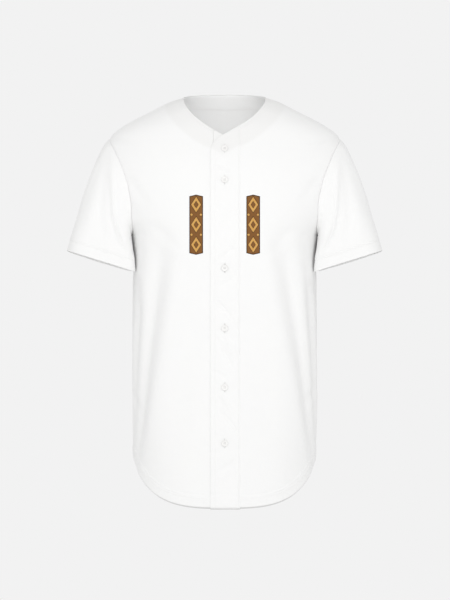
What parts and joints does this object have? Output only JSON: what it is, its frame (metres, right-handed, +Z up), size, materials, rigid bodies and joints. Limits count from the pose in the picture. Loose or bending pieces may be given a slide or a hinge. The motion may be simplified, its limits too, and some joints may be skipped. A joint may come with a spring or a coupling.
{
  "type": "baseball jersey",
  "caption": "Short-sleeved button-front jersey in its hollow worn shape, with a V neck, set-in sleeves, a placket and a rounded tail.",
  "frame": {"origin": "midway between the shoulders, level with the neck ends of the shoulder seams, where the wearer's shoulders carry the jersey", "axes": "+Z up, towards the neck; the front faces -Y; +X is the wearer's left"},
  "size_m": [0.6068, 0.263, 0.7916],
  "materials": {
    "cloth": "matte",
    "button": "gloss",
    "thread": "matte",
    "print": "matte"
  },
  "bodies": {
    "root": {"back_panel": "cloth", "right_front": "cloth", "left_front": "cloth", "right_sleeve": "cloth", "left_sleeve": "cloth", "placket_band": "cloth", "button_band": "cloth", "back_neck_facing": "cloth", "right_neck_facing": "cloth", "left_neck_facing": "cloth", "button_1": "button", "button_2": "button", "button_3": "button", "button_4": "button", "button_5": "button", "button_6": "button"}
  },
  "joints": []
}
